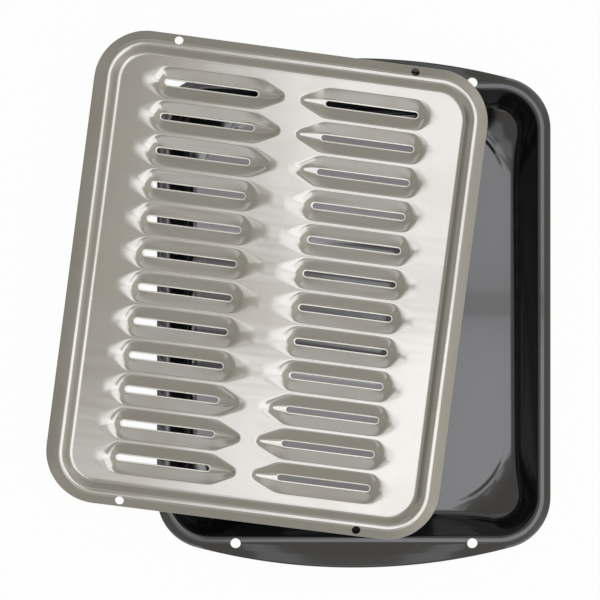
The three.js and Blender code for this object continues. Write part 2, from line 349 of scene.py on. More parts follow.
def solid_pose(node: bpy.types.Object) -> Matrix:
    """Finds how a solid with two upright mirror planes lies, from its surface's second moments.

    Args:
        node: the solid, long along its own Y and thin along its own Z.

    Returns:
        The matrix from the solid's own axes, with the origin at its highest level, to the frame.
    """
    mesh = node.data
    mesh.calc_loop_triangles()
    points = np.array([v.co for v in mesh.vertices])
    corners = points[np.array([t.vertices for t in mesh.loop_triangles])]
    sides = corners[:, 1:] - corners[:, :1]
    areas = np.linalg.norm(np.cross(sides[:, 0], sides[:, 1]), axis=1) / 2
    middles = corners.mean(axis=1)
    centre = (areas[:, None] * middles).sum(axis=0) / areas.sum()
    around, off = corners - centre, middles - centre
    # A triangle's second moments go as those of its corners and nine times that of its middle
    moments = np.einsum("t,tci,tcj->ij", areas, around, around)
    moments += 9 * np.einsum("t,ti,tj->ij", areas, off, off)
    axes = np.linalg.eigh(moments)[1]
    up, along = axes[:, 0] * np.sign(axes[2, 0]), axes[:, 2] * np.sign(axes[1, 2])
    across = np.cross(along, up)
    top = centre + up * ((points - centre) @ up).max()
    pose = Matrix.Identity(4)
    for column, axis in enumerate((across, along, up, top)):
        pose.col[column][:3] = axis
    return pose


# Shader nodes


class Value:
    """A socket of a material's nodes that takes part in sums."""

    def __init__(self, graph: "Graph", socket: bpy.types.NodeSocket) -> None:
        """Wraps an output socket of a graph."""
        self.graph = graph
        self.socket = socket

    def sum(self, operation: str, first: Any, second: Any) -> "Value":
        """Adds a Math node and gives its result."""
        return self.graph.value("ShaderNodeMath", {"operation": operation}, {0: first, 1: second})

    def __add__(self, other: Any) -> "Value":
        """self + other."""
        return self.sum("ADD", self, other)

    def __sub__(self, other: Any) -> "Value":
        """self - other."""
        return self.sum("SUBTRACT", self, other)

    def __rsub__(self, other: Any) -> "Value":
        """other - self."""
        return self.sum("SUBTRACT", other, self)

    def __mul__(self, other: Any) -> "Value":
        """self * other."""
        return self.sum("MULTIPLY", self, other)

    __radd__ = __add__
    __rmul__ = __mul__

    def __pow__(self, other: Any) -> "Value":
        """self ** other."""
        return self.sum("POWER", self, other)

    def __abs__(self) -> "Value":
        """self without its sign."""
        return self.sum("ABSOLUTE", self, 0.0)

    def at_least(self, other: Any) -> "Value":
        """The greater of the two."""
        return self.sum("MAXIMUM", self, other)

    def folded(self, length: float) -> "Value":
        """A wave that goes up from 0 to a length and down again, over twice that length."""
        return self.sum("PINGPONG", self, length)

    def between(self, low: float, high: float) -> "Value":
        """A smooth step from 0 at low to 1 at high."""
        settings = {"interpolation_type": "SMOOTHSTEP", "clamp": True}
        sockets = {"Value": self, "From Min": low, "From Max": high}
        return self.graph.value("ShaderNodeMapRange", settings, sockets, "Result")


@dataclass(frozen=True)
class Grain:
    """A noise over a surface: its waves per metre along each axis, and the depth of its bump in mm."""

    waves: Triple
    detail: float
    roughness: float = 0.5
    depth: float = 0.0
    strength: float = 0.0


class Graph:
    """The node tree of a material or of the world."""

    def __init__(self, tree: bpy.types.NodeTree) -> None:
        """Starts from an empty tree."""
        self.tree = tree
        tree.nodes.clear()

    def add(self, kind: str, settings: Mapping[str, Any], sockets: Mapping[Any, Any]) -> bpy.types.Node:
        """Adds a node.

        Args:
            kind: the node's type.
            settings: its own settings, which are set first.
            sockets: a number, colour, vector, socket or Value for each input socket, by name or number.

        Returns:
            The node.
        """
        node = self.tree.nodes.new(kind)
        for name, setting in settings.items():
            setattr(node, name, setting)
        for name, value in sockets.items():
            socket = node.inputs[name]
            source = value.socket if isinstance(value, Value) else value
            if isinstance(source, bpy.types.NodeSocket):
                self.tree.links.new(source, socket)
            else:
                socket.default_value = source
        return node

    def value(
        self, kind: str, settings: Mapping[str, Any], sockets: Mapping[Any, Any], output: Any = 0
    ) -> Value:
        """Adds a node and wraps one of its outputs."""
        return Value(self, self.add(kind, settings, sockets).outputs[output])

    def parts(self, vector: Any) -> list[Value]:
        """The three parts of a vector."""
        split = self.add("ShaderNodeSeparateXYZ", {}, {0: vector})
        return [Value(self, output) for output in split.outputs]

    def place(self) -> bpy.types.NodeSocket:
        """The point in the piece's own axes, in metres."""
        return self.add("ShaderNodeTexCoord", {}, {}).outputs["Object"]

    def noise(self, place: Any, grain: Grain) -> Value:
        """A grain's noise at a place, from 0 to 1 about 0.5."""
        scaled = self.add("ShaderNodeVectorMath", {"operation": "MULTIPLY"}, {0: place, 1: grain.waves})
        sockets = {"Vector": scaled.outputs[0], "Scale": 1.0}
        sockets |= {"Detail": grain.detail, "Roughness": grain.roughness}
        return self.value("ShaderNodeTexNoise", {"noise_dimensions": "3D"}, sockets, "Fac")

    def mixed(self, share: Any, first: Any, second: Any) -> bpy.types.NodeSocket:
        """A colour between two others."""
        settings = {"data_type": "RGBA", "blend_type": "MIX"}
        node = self.add("ShaderNodeMix", settings, {0: share, 6: first, 7: second})
        return node.outputs[2]

    def bump(self, height: Value, grain: Grain, under: Any = None) -> bpy.types.NodeSocket:
        """A normal bumped by a grain.

        Args:
            height: the grain's noise.
            grain: how deep it goes and how much of it shows.
            under: a normal that it is added to.

        Returns:
            The normal.
        """
        sockets = {"Height": height, "Distance": grain.depth * MM, "Strength": grain.strength}
        if under is not None:
            sockets["Normal"] = under
        return self.add("ShaderNodeBump", {}, sockets).outputs["Normal"]

    def show(self, shader: bpy.types.Node, output: str = "ShaderNodeOutputMaterial") -> None:
        """Shows a shader as the surface."""
        self.add(output, {}, {"Surface": shader.outputs[0]})


def new_material(name: str) -> tuple[bpy.types.Material, Graph]:
    """A new material and its empty graph."""
    material = bpy.data.materials.new(name)
    material.use_nodes = True
    return material, Graph(material.node_tree)


@dataclass(frozen=True)
class SlotGrid:
    """Where the drip slots are: two columns of even rows about the middle of the grill, in mm."""

    column_offset: float
    rows: int
    pitch: float
    length: float
    width: float


@dataclass(frozen=True)
class BrightPlate:
    """Satin bright plating with faint streaks of the rolled sheet, rubbed patches and matt slot edges, whose
    lighter colour is a painted highlight.
    """

    slots: SlotGrid
    bright: Colour = (0.607, 0.6, 0.612, 1.0)
    warm: Colour = (0.59, 0.578, 0.58, 1.0)
    # the slot edges' colour, lighter than the plating: a painted highlight of the lands and edges round the
    # slots
    matt: Colour = (0.87, 0.87, 0.89, 1.0)
    gloss: float = 0.15
    rubbed: float = 0.21
    matt_gloss: float = 0.4
    matt_and_highlight_reach: float = 1.0
    matt_and_highlight_fade: float = 0.2
    off_rows: float = 9.0
    streaks: Grain = Grain((14.0, 1500.0, 300.0), 3.0, 0.6, 0.02, 0.25)
    bands: Grain = Grain((5.0, 60.0, 60.0), 2.0)
    patches: Grain = Grain((16.0, 16.0, 16.0), 3.0)
    patch_range: Pair = (0.42, 0.68)
    patch_share: float = 0.6
    tint_range: Pair = (0.25, 0.8)
    swells: Grain = Grain((22.0, 22.0, 22.0), 1.0, depth=0.6, strength=0.3)
    waves: Grain = Grain((10.0, 90.0, 90.0), 1.0, depth=0.5, strength=0.3)

    def slot_edges(self, graph: Graph, place: Any) -> Value:
        """The bands round the slots, matt from the deburring and lighter as a painted highlight: 1 on them
        and 0 elsewhere.
        """
        x, y, _ = graph.parts(place)
        slots = self.slots
        along = abs(abs(x) - slots.column_offset * MM) - (slots.length - slots.width) / 2 * MM
        along = along.at_least(0.0)
        across = slots.pitch / 2 * MM - y.folded(slots.pitch / 2 * MM)
        past_rows = (abs(y) - slots.rows * slots.pitch / 2 * MM).at_least(0.0)
        from_middle = (along * along + across * across) ** 0.5 + self.off_rows * past_rows
        from_edge = from_middle - slots.width / 2 * MM
        fade = self.matt_and_highlight_reach * self.matt_and_highlight_fade * MM
        return 1 - from_edge.between(self.matt_and_highlight_reach * MM - fade, self.matt_and_highlight_reach * MM + fade)

    def material(self) -> bpy.types.Material:
        """Makes the finish.

        Returns:
            The material.
        """
        material, graph = new_material("bright_plate")
        place = graph.place()
        edges = self.slot_edges(graph, place)
        streaks, bands = graph.noise(place, self.streaks), graph.noise(place, self.bands)
        patches = graph.noise(place, self.patches).between(*self.patch_range)
        tint = patches * self.patch_share + bands * (1 - self.patch_share)
        tint = tint.between(*self.tint_range)
        plain = self.gloss + (self.rubbed - self.gloss) * (streaks + patches) * 0.5
        normal = graph.bump(streaks, self.streaks)
        for grain in (self.swells, self.waves):
            normal = graph.bump(graph.noise(place, grain), grain, normal)
        shader = graph.add(
            "ShaderNodeBsdfPrincipled",
            {},
            {
                # the slot edges take the lighter colour, a painted highlight
                "Base Color": graph.mixed(edges, graph.mixed(tint, self.bright, self.warm), self.matt),
                "Metallic": 1.0,
                "Roughness": plain + (self.matt_gloss - plain) * edges,
                "Normal": normal,
            },
        )
        graph.show(shader)
        return material


@dataclass(frozen=True)
class BlackEnamel:
    """Glossy black porcelain enamel, with the slight peel of a fired coat, fine pale specks, and a lighter
    floor panel that is partly haze and partly painted reflection.
    """

    body: Colour = (0.011, 0.011, 0.013, 1.0)
    worn: Colour = (0.05, 0.05, 0.052, 1.0)
    # the floor panel's lighter colour: a little haze, and painted reflection that makes the floor as light as
    # its reflection of the lamps
    floor_haze_and_reflection: Colour = (0.066, 0.066, 0.072, 1.0)
    gloss: float = 0.12
    worn_gloss: float = 0.24
    refraction: float = 2.06
    shine_tint: Colour = (0.86, 0.875, 1.0, 1.0)
    glaze_share: float = 0.5
    glaze_gloss: float = 0.03
    wear_share: float = 0.7
    peel_share: float = 0.15
    rim_height: float = 41.3
    rim_band: float = 6.0
    floor_range: Pair = (1.2, 1.8)
    peel: Grain = Grain((160.0, 160.0, 160.0), 2.0, depth=0.12, strength=0.22)
    waves: Grain = Grain((18.0, 18.0, 18.0), 1.0, depth=0.6, strength=0.25)
    scuffs: Grain = Grain((90.0, 260.0, 90.0), 4.0, 0.65)
    scuff_range: Pair = (0.56, 0.74)
    scuff_share: float = 0.55
    specks: Grain = Grain((900.0, 900.0, 900.0), 1.0)
    speck_range: Pair = (0.74, 0.8)
    speck_share: float = 0.35

    def material(self) -> bpy.types.Material:
        """Makes the finish.

        Returns:
            The material.
        """
        material, graph = new_material("black_enamel")
        place = graph.place()
        peel = graph.noise(place, self.peel)
        _, _, height = graph.parts(place)
        near_rim = height.between((self.rim_height - self.rim_band) * MM, self.rim_height * MM)
        # 1 on the floor panel, which takes the lighter colour of haze and painted reflection
        floor_haze_and_reflection_mask = 1 - height.between(*(level * MM for level in self.floor_range))
        scuffs = graph.noise(place, self.scuffs).between(*self.scuff_range)
        specks = graph.noise(place, self.specks).between(*self.speck_range)
        wear = near_rim * scuffs * self.scuff_share + specks * self.speck_share
        wear = wear.between(0.0, 1.0)
        roughening = wear * self.wear_share + peel * self.peel_share
        normal = graph.bump(peel, self.peel)
        normal = graph.bump(graph.noise(place, self.waves), self.waves, normal)
        shader = graph.add(
            "ShaderNodeBsdfPrincipled",
            {},
            {
                "Base Color": graph.mixed(wear, graph.mixed(floor_haze_and_reflection_mask, self.body, self.floor_haze_and_reflection), self.worn),
                "Roughness": self.gloss + (self.worn_gloss - self.gloss) * roughening,
                "IOR": self.refraction,
                "Specular Tint": self.shine_tint,
                "Coat Weight": self.glaze_share,
                "Coat Roughness": self.glaze_gloss,
                "Normal": normal,
            },
        )
        graph.show(shader)
        return material


@dataclass(frozen=True)
class PaleTable:
    """The matt white table, which looks white and still takes the object's shadow."""

    colour: Colour = (0.9, 0.9, 0.9, 1.0)
    white_share: float = 0.97

    def material(self) -> bpy.types.Material:
        """Makes the finish.

        Returns:
            The material.
        """
        material, graph = new_material("pale_table")
        path = graph.add("ShaderNodeLightPath", {}, {})
        seen = Value(graph, path.outputs["Is Camera Ray"])
        seen = seen.at_least(Value(graph, path.outputs["Is Glossy Ray"]))
        seen = seen.at_least(Value(graph, path.outputs["Is Transmission Ray"]))
        matt = graph.add("ShaderNodeBsdfDiffuse", {}, {"Color": self.colour})
        white = graph.add("ShaderNodeEmission", {}, {"Color": WHITE, "Strength": 1.0})
        sockets = {0: seen * self.white_share, 1: matt.outputs[0], 2: white.outputs[0]}
        graph.show(graph.add("ShaderNodeMixShader", {}, sockets))
        return material


# Pieces


@dataclass
class Pan:
    """The deep-drawn pan. Its insets count inwards from the edge of its opening. Sizes are in mm."""

    width: float = 323.85
    length: float = 419.1
    height: float = 41.3
    sheet: float = 1.0
    crest_width: float = 5.2
    side_lip_run: float = 6.0
    end_lip_run: float = 21.3
    lip_drop: float = 4.5
    lip_crown: float = 0.48
    lip_bend: float = 12.0
    lip_corner: float = 43.0
    end_bow_radius: float = 510.0
    crest_bend: float = 2.5
    opening_corner: float = 33.0
    wall_draft: float = 16.0
    rim_bend: float = 3.4
    floor_fillet: float = 9.0
    floor_border: float = 1.8
    floor_step: float = 1.2
    side_step_share: float = 0.12
    step_growth_run: float = 18.0
    corner_rise: float = 8.0
    corner_bowl: float = 1.5
    floor_step_run: float = 2.4
    floor_step_bend: float = 1.6
    floor_panel_corner: float = 58.0
    hole_spacing: float = 194.0
    hole_diameter: float = 8.3
    hole_from_crest: float = 0.5
    broken_edge: float = 0.3
    bend_steps: int = 8
    border_steps: int = 6
    support: float = 0.6
    steps: OutlineSteps = OutlineSteps(20, 80, 80)

    def __post_init__(self) -> None:
        """Works out the sizes that follow from the others, and how wide the floor's border is all round."""
        self.half_opening = (
            self.width / 2 - self.side_lip_run - self.crest_width,
            self.length / 2 - self.end_lip_run - self.crest_width,
        )
        half_turn = math.radians(90 + self.wall_draft) / 2
        wall_run = (self.height - self.sheet) * math.tan(math.radians(self.wall_draft))
        fillet_end = wall_run + self.floor_fillet / math.tan(half_turn)
        self.step_at = fillet_end + self.floor_border
        self.wall_foot = self.outline(fillet_end)
        self.border = np.linalg.norm(self.panel_outline(self.step_at) - self.wall_foot, axis=1).round(3)
        grown = eased(self.border, self.floor_border, self.floor_border + self.step_growth_run)
        share = self.side_step_share + (1 - self.side_step_share) * grown
        self.step_top = self.sheet + self.floor_step * share

    def outline(self, inset: float) -> np.ndarray:
        """The outline of the lip, crest or wall at an inset."""
        half_width, half_length = self.half_opening
        lip_share = (-inset - self.crest_width) / self.side_lip_run
        if lip_share <= 0:
            corner = self.opening_corner - inset
            return rounded_outline(half_width - inset, half_length - inset, corner, self.steps)
        crest_corner = self.opening_corner + self.crest_width
        corner = crest_corner + lip_share * (self.lip_corner - crest_corner)
        bowed = half_length + self.crest_width + lip_share * self.end_lip_run
        bow = lip_share / self.end_bow_radius
        return rounded_outline(half_width - inset, bowed, corner, self.steps, bow)

    def panel_outline(self, inset: float) -> np.ndarray:
        """The floor panel's outline at an inset, with the point nearest to each of the wall's foot."""
        corner = self.floor_panel_corner - (inset - self.step_at)
        half = np.array(self.half_opening) - inset
        off = abs(self.wall_foot) - (half - corner)
        far = np.linalg.norm(off, axis=1, keepdims=True)
        on_corner = half - corner + off * corner / far
        beside = np.where(off[:, :1] > off[:, 1:], (half[0], np.inf), (np.inf, half[1]))
        on_straight = np.minimum(abs(self.wall_foot), beside)
        in_corner = (off > 0).all(axis=1, keepdims=True)
        return np.where(in_corner, on_corner, on_straight) * np.sign(self.wall_foot)

    def wall_section(self, foot: float, slope: float) -> np.ndarray:
        """The section from the lip's edge to the end of the floor's fillet.

        Args:
            foot: the height that the wall runs down to.
            slope: how steeply the floor's border falls away from there.

        Returns:
            Points of inset and height.
        """
        wall_run = (self.height - foot) * math.tan(math.radians(self.wall_draft))
        border_run = 3 * self.floor_fillet  # enough for the fillet's end, which is where the section stops
        lip_edge = -self.crest_width - self.side_lip_run
        lip_middle = lip_edge + self.side_lip_run / 2
        edge_slope = self.lip_drop * (1 - self.lip_crown) / (self.side_lip_run / 2)
        corners = (
            SheetCorner(lip_edge, self.height - self.lip_drop),
            SheetCorner(lip_edge + self.support, self.height - self.lip_drop + self.support * edge_slope),
            SheetCorner(lip_middle, self.height - self.lip_drop * self.lip_crown, self.lip_bend),
            SheetCorner(-self.crest_width, self.height, self.crest_bend),
            SheetCorner(0, self.height, self.rim_bend),
            SheetCorner(wall_run, foot, self.floor_fillet),
            SheetCorner(wall_run + border_run, foot - border_run * slope),
        )
        return bent_section(corners, self.bend_steps)[:-1]

    def wall_rings(self) -> np.ndarray:
        """The rings of the lip, crest, wall and fillet, ring by point by xyz."""
        bowl = self.corner_rise / self.border.max() ** self.corner_bowl
        rings: np.ndarray | None = None
        for border in np.unique(self.border):
            here = self.border == border
            rise = bowl * border**self.corner_bowl
            slope = self.corner_bowl * rise / border
            run_out = self.floor_fillet * slope / 2
            section = self.wall_section(self.step_top[here][0] + rise + run_out, slope)
            if rings is None:
                rings = np.zeros((len(section), len(self.border), 3))
            for ring, (inset, height) in zip(rings, section):
                ring[here] = raised(self.outline(inset)[here], height)
        return rings

    def border_rings(self, wall: np.ndarray) -> np.ndarray:
        """The rings of the border, a shallow bowl between the wall's foot and the floor's panel."""
        shares = np.linspace(1, 0, self.border_steps + 1)[1:, None]
        edge = np.column_stack((self.panel_outline(self.step_at - self.support), self.step_top))
        rings = wall * shares[..., None] + edge * (1 - shares[..., None])
        rings[..., 2] = self.step_top + (wall[:, 2] - self.step_top) * shares**self.corner_bowl
        return rings

    def floor_rings(self) -> np.ndarray:
        """The rings of the step down to the floor's panel."""
        foot = self.step_at + self.floor_step_run
        corners = (
            SheetCorner(self.step_at - self.support, 1),
            SheetCorner(self.step_at, 1, self.floor_step_bend),
            SheetCorner(foot, 0, self.floor_step_bend),
            SheetCorner(foot + 2 * self.support, 0),
            SheetCorner(foot + 3 * self.support, 0),
        )
        rings = []
        for inset, share in bent_section(corners, self.bend_steps)[1:]:
            heights = self.sheet + (self.step_top - self.sheet) * share
            rings.append(np.column_stack((self.panel_outline(inset), heights)))
        return np.array(rings)

    def build(self) -> bpy.types.Object:
        """Builds the pan's mesh.

        Returns:
            The piece.
        """
        wall = self.wall_rings()
        mesh = SheetMesh()
        numbers = mesh.add_rings(np.concatenate((wall, self.border_rings(wall[-1]), self.floor_rings())))
        mesh.add_cap(numbers[-1])
        hole_y = self.half_opening[1] + self.crest_width + self.hole_from_crest
        drills = four_holes(self.hole_spacing, hole_y, self.hole_diameter)
        return mesh.made("pan_pressing", self.sheet, drills, self.broken_edge, 2 * self.height)

    def dress(self, piece: bpy.types.Object) -> None:
        """Gives the pan its enamel and its place on the pan body."""
        coat(piece, BlackEnamel(rim_height=self.height).material())
        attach(piece, Body.PAN.value)
        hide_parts("broiler_pan")


@dataclass(frozen=True)
class TroughTip:
    """One end of a trough: its reach past the land, its round tip on the panel and at its foot, in mm.

    The fan goes from 0, a valley between two creased flanks, to 1, flanks that turn round the slot's end with
    a gentle ramp beyond them. The knee, the outline of the steep part, counts as far as the fan goes.
    """

    reach: float
    radius: float
    foot_radius: float
    depth: float
    brow: float
    taper_brow: float
    valley: float
    knee_reach: float = 6.0
    knee_radius: float = 5.0
    fan: float = 0.0

    def toward(self, other: "TroughTip", share: float) -> "TroughTip":
        """An end between this one and another."""
        ours, theirs = asdict(self), asdict(other)
        return TroughTip(**{name: size + (theirs[name] - size) * share for name, size in ours.items()})


@dataclass
class Grill:
    """The stamped grill, in axes of its own with z 0 on the crest of its rim. Sizes are in mm."""

    width: float = 323.6
    length: float = 387.4
    corner: float = 43.0
    sheet: float = 0.8
    skirt_side_run: float = 9.6
    skirt_end_run: float = 8.1
    skirt_drop: float = 5.0
    crest_width: float = 3.4
    crest_bend: float = 7.0
    wall_run: float = 6.6
    wall_belly: float = 0.1
    belly_bend: float = 20.0
    wall_bend: float = 5.0
    wall_run_out: float = 3.0
    panel_recess: float = 5.4
    rows: int = 12
    row_pitch: float = 28.08
    column_offset: float = 66.1
    trough_depth: float = 4.5
    crest_between_rows: float = 2.4
    slot_length: float = 76.0
    slot_width: float = 4.5
    slot_land: float = 1.0
    sharp_tip: TroughTip = TroughTip(20.5, 4.5, 1.4, 2.4, brow=0.9, taper_brow=0.9, valley=1.6)
    worn_tip: TroughTip = TroughTip(19.5, 4.5, 1.1, 1.5, 8.0, 4.5, 1.2, 7.0, 5.0, fan=1.0)
    outer_tip: TroughTip = TroughTip(15.0, 5.0, 1.1, 1.5, 7.0, 4.0, 1.2, 5.5, 4.0, fan=1.0)
    sharp_rows_from: float = 0.15
    sharp_rows_to: float = 0.6
    long_brow: float = 0.85
    foot_bend: float = 0.6
    foot_share: float = 0.12
    knee_share: float = 0.23
    crease_knee_share: float = 0.5
    knee_bend: float = 3.5
    soften_rounds: tuple[tuple[str, int], ...] = (("brow", 3), ("knee", 8), ("foot", 8))
    cell_outer_reach: float = 62.0
    panel_dish: float = 1.2
    hole_spacing: float = 194.0
    hole_diameter: float = 7.0
    hole_from_end: float = 5.4
    drill_reach: float = 20.0
    broken_edge: float = 0.22
    bend_steps: int = 6
    straight_steps: int = 12
    taper_steps: int = 10
    tip_steps: int = 10
    brow_steps: int = 4
    knee_steps: int = 3
    support: float = 0.5
    steps: OutlineSteps = OutlineSteps()

    def __post_init__(self) -> None:
        """Works out the sizes of a trough that follow from the others."""
        self.land_length = self.slot_length / 2 + self.slot_land
        self.land_width = self.slot_width / 2 + self.slot_land
        self.straight_end = (self.slot_length - self.slot_width) / 2
        self.brow_width = (self.row_pitch - self.crest_between_rows) / 2
        self.taper = even_shares(self.taper_steps)

    def row_y(self, row: int) -> float:
        """How far a row is from the middle, the first one at the back."""
        return ((self.rows - 1) / 2 - row) * self.row_pitch

    def outline(self, inset: float) -> np.ndarray:
        """The outline of the rim at an inset from its edge."""
        end_inset = inset - min(inset / self.skirt_side_run, 1) * (self.skirt_side_run - self.skirt_end_run)
        return rounded_outline(
            self.width / 2 - inset, self.length / 2 - end_inset, self.corner - inset, self.steps
        )

    def rim_rings(self) -> np.ndarray:
        """The rings of the skirt, the crest and the wall down to the panel."""
        crest_at = self.skirt_side_run + self.crest_width
        foot = crest_at + self.wall_run
        belly = -self.panel_recess * (0.5 - self.wall_belly)
        corners = (
            SheetCorner(0, -self.skirt_drop),
            SheetCorner(self.support, -self.skirt_drop * (1 - self.support / self.skirt_side_run)),
            SheetCorner(self.skirt_side_run, 0, self.crest_bend),
            SheetCorner(crest_at, 0, self.crest_bend),
            SheetCorner(crest_at + self.wall_run / 2, belly, self.belly_bend),
            SheetCorner(foot, -self.panel_recess, self.wall_bend),
            SheetCorner(foot + self.wall_run_out, -self.panel_recess),
        )
        section = bent_section(corners, self.bend_steps)
        return np.array([raised(self.outline(inset), height) for inset, height in section])

    def end_line(self, tip: TroughTip) -> dict[str, np.ndarray]:
        """One end of a trough towards +X, from its -Y shoulder round the tip, without its +Y shoulder.

        Args:
            tip: the end's sizes.

        Returns:
            Matching lines of points on the brow, the knee, the foot, the land and the slot's edge.
        """
        knee_width = self.brow_width - self.knee_share * (self.brow_width - self.land_width)
        tip_line, round_tip = self.pointed(self.brow_width, tip.reach, tip.radius)
        knee_line, _ = self.pointed(knee_width, tip.knee_reach, tip.knee_radius)
        foot_centre = np.array((self.land_length + tip.reach - tip.radius, 0.0))
        foot_tip = raised(foot_centre + tip.foot_radius * round_tip, -tip.depth)
        quarter = np.linspace(-math.pi / 2, math.pi / 2, 2 * self.taper_steps + self.tip_steps + 1)[:-1]
        slot_end = np.array((self.straight_end, 0.0))
        slot_round = np.column_stack((np.cos(quarter), np.sin(quarter)))
        brow = raised(tip_line, 0)
        land = raised(slot_end + slot_round * self.land_width, -self.trough_depth)
        flank = self.flank_start() * (1 - self.taper) + foot_tip[0] * self.taper
        valley = self.there_and_back(flank, foot_tip)
        turned_knee = raised(knee_line, -self.knee_share * self.trough_depth)
        deeper = self.knee_share * (1 - self.taper) + self.crease_knee_share * self.taper
        deepest = np.full((self.tip_steps + 1, 1), self.crease_knee_share)
        knee_shares = self.there_and_back(deeper, deepest)
        creased_knee = brow + knee_shares * (valley - brow)
        turned_foot = land + self.foot_share * (turned_knee - land)
        return {
            "brow": brow,
            "knee": creased_knee + tip.fan * (turned_knee - creased_knee),
            "foot": valley + tip.fan * (turned_foot - valley),
            "land": land,
            "slot": raised(slot_end + slot_round * self.slot_width / 2, -self.trough_depth),
        }

    def pointed(self, width: float, reach: float, radius: float) -> tuple[np.ndarray, np.ndarray]:
        """An outline that tapers from a -Y shoulder at the land's end to a round tip towards +X and back.

        Args:
            width: how far the shoulder is from the trough's middle.
            reach: how far the tip is past the shoulder.
            radius: the tip's radius.

        Returns:
            The outline without its +Y shoulder, and the ways that the tip's points face.
        """
        shoulder = np.array((self.land_length, -width))
        centre = np.array((self.land_length + reach - radius, 0.0))
        toward = shoulder - centre
        tangent = math.atan2(toward[1], toward[0]) + math.acos(radius / np.linalg.norm(toward))
        turn = np.linspace(tangent, -tangent, self.tip_steps + 1)
        round_tip = np.column_stack((np.cos(turn), np.sin(turn)))
        tip_line = centre + radius * round_tip
        taper_line = shoulder * (1 - self.taper) + tip_line[0] * self.taper
        return self.there_and_back(taper_line, tip_line), round_tip

    def flank_start(self) -> np.ndarray:
        """A point just up the -Y flank from the land, at the land's +X end."""
        shoulder = np.array((self.straight_end, -self.brow_width, 0.0))
        foot = np.array((self.straight_end, -self.land_width, -self.trough_depth))
        return foot + self.foot_share * (shoulder - foot)

    @staticmethod
    def there_and_back(taper: np.ndarray, tip: np.ndarray) -> np.ndarray:
        """A -Y taper, a tip, and the same taper back on the +Y side, without its last point."""
        mirror = np.ones(taper.shape[1])
        mirror[1:2] = -1
        return np.vstack((taper, tip, (taper * mirror)[:0:-1]))

    def cell_edge(self) -> np.ndarray:
        """The rectangle that a trough's cell fills, point by point as the trough's own lines."""
        shoulder, side = self.land_length, self.row_pitch / 2
        steps = (self.taper, even_shares(self.tip_steps), self.taper, self.straight_shares())
        lines = []
        for end, reach in ((1, self.column_offset), (-1, self.cell_outer_reach)):
            stops = ((shoulder, -side), (reach, -side), (reach, side), (shoulder, side), (-shoulder, side))
            for first, last, shares in zip(end * np.array(stops), end * np.array(stops[1:]), steps):
                lines.append(first * (1 - shares) + last * shares)
        return raised(np.vstack(lines), 0)

    def straight_shares(self) -> np.ndarray:
        """Shares along a trough's straight part, closer together near its ends, without the last."""
        return (1 - np.cos(np.linspace(0, math.pi, self.straight_steps + 1)[:-1, None])) / 2

    def trough_lines(self, inner: TroughTip) -> dict[str, np.ndarray]:
        """A trough's closed lines, its inner end towards +X, counterclockwise from its -Y shoulder."""
        ends = [self.end_line(inner), self.end_line(self.outer_tip)]
        lines = {}
        for name in ends[0]:
            near, far = ends[0][name], ends[1][name] * (-1, -1, 1)
            start, stop, shares = near[0] * (1, -1, 1), far[0], self.straight_shares()
            over = start * (1 - shares) + stop * shares
            lines[name] = np.vstack((near, over, far, over * (-1, -1, 1)))
        for name, rounds in self.soften_rounds:
            for _ in range(rounds):
                line = lines[name]
                lines[name] = (np.roll(line, 1, axis=0) + 2 * line + np.roll(line, -1, axis=0)) / 4
        return lines

    def along_trough(self, flank: float, ends: Sequence[Pair]) -> np.ndarray:
        """A size at each point of a trough's lines.

        Args:
            flank: the size along the flanks.
            ends: for the inner and the outer end, the size where taper and tip meet, and at the tip's middle.

        Returns:
            The sizes.
        """
        made = []
        for at_taper, at_tip in ends:
            taper = np.linspace(flank, at_taper, self.taper_steps + 1)[:-1]
            half = np.linspace(at_taper, at_tip, self.tip_steps // 2 + 1)
            made += [taper, half, half[-2::-1], taper[:0:-1], np.full(self.straight_steps, flank)]
        return np.concatenate(made)

    def trough_rings(self, row: int) -> np.ndarray:
        """The rings of a trough's cell from its edge to the slot, with z 0 on the panel.

        Args:
            row: the trough's row.

        Returns:
            Ring by point by xyz, the inner end towards +X.
        """
        from_middle = (self.row_y(row) / self.row_y(0)) ** 2
        sharp = eased(from_middle, self.sharp_rows_from, self.sharp_rows_to)
        inner = self.worn_tip.toward(self.sharp_tip, float(sharp))
        ends = (inner, self.outer_tip)
        lines = self.trough_lines(inner)
        edge = self.cell_edge()
        brow, knee, foot, land, slot = (lines[name] for name in ("brow", "knee", "foot", "land", "slot"))
        brow_bend = self.along_trough(self.long_brow, [(tip.taper_brow, tip.brow) for tip in ends])
        foot_bend = self.along_trough(self.foot_bend, [(tip.valley, tip.valley) for tip in ends])
        brow_curve = rounded_corner(edge, brow, knee, brow_bend, self.brow_steps)
        knee_curve = rounded_corner(brow, knee, foot, self.knee_bend, self.knee_steps)
        foot_curve = rounded_corner(knee, foot, land, foot_bend, self.brow_steps)
        land_curve = rounded_corner(foot, land, slot, self.foot_bend, self.knee_steps)
        rings = [
            edge,
            stepped_toward(brow_curve[0], edge, self.support),
            *brow_curve,
            *knee_curve,
            (knee_curve[-1] + foot_curve[0]) / 2,
            *foot_curve,
            *land_curve,
            slot,
        ]
        return np.array(rings)

    def dished(self, points: np.ndarray) -> np.ndarray:
        """Points of the panel lowered by its slight dish towards the middle."""
        across = np.clip(1 - (points[..., 0] / (self.width / 2)) ** 2, 0, 1)
        along = np.clip(1 - (points[..., 1] / (self.rows * self.row_pitch / 2)) ** 2, 0, 1)
        lowered = points.copy()
        lowered[..., 2] -= self.panel_dish * across**2 * along**2
        return lowered

